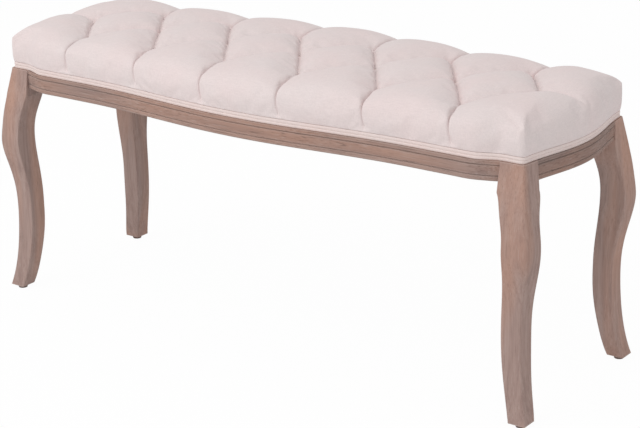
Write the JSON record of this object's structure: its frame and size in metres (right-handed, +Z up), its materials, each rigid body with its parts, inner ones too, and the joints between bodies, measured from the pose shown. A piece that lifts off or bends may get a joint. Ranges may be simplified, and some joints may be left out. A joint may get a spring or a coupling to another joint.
{
  "type": "upholstered bench",
  "caption": "Upholstered bench: a diamond-tufted linen seat with double welt on a bowed, reeded wooden frame with cabriole legs and floor glides.",
  "frame": {"origin": "on the floor, under the middle of the seat", "axes": "+X along the length of the seat to its right end, +Y from front to back, +Z up"},
  "size_m": [1.0992, 0.389, 0.4982],
  "materials": {
    "limed_wood": "limed and wire-brushed grey-brown, matt",
    "frame_softwood": "planed, unfinished",
    "plywood": "sanded, unfinished",
    "zinc_steel": "zinc plated",
    "seat_foam": "open-cell polyurethane foam",
    "polyester_batting": "loose fibre",
    "linen_cover": "off-white linen weave, matt",
    "linen_welt": "off-white linen over cord",
    "upholstery_twine": "waxed twine",
    "anchor_plastic": "moulded",
    "dust_cloth": "non-woven, matt",
    "glide_plastic": "moulded dark brown"
  },
  "bodies": {
    "root": {"back_rail": "limed_wood", "batting": "polyester_batting", "block_screws": "zinc_steel", "board_screws": "zinc_steel", "bolt_nuts": "zinc_steel", "bolt_washers": "zinc_steel", "corner_block_back_left": "frame_softwood", "corner_block_back_right": "frame_softwood", "corner_block_front_left": "frame_softwood", "corner_block_front_right": "frame_softwood", "cross_rail_dowels": "frame_softwood", "double_welt": "linen_welt", "dust_cover": "dust_cloth", "dust_cover_staples": "zinc_steel", "foam_pad": "seat_foam", "front_rail": "limed_wood", "glide_back_left": "glide_plastic", "glide_back_right": "glide_plastic", "glide_front_left": "glide_plastic", "glide_front_right": "glide_plastic", "glide_nails": "zinc_steel", "hanger_bolts": "zinc_steel", "left_cross_rail": "frame_softwood", "left_rail": "limed_wood", "leg_back_left": "limed_wood", "leg_back_right": "limed_wood", "leg_front_left": "limed_wood", "leg_front_right": "limed_wood", "right_cross_rail": "frame_softwood", "right_rail": "limed_wood", "seat_board": "plywood", "seat_cover": "linen_cover", "tuft_anchors": "anchor_plastic", "tuft_twines": "upholstery_twine"}
  },
  "joints": []
}
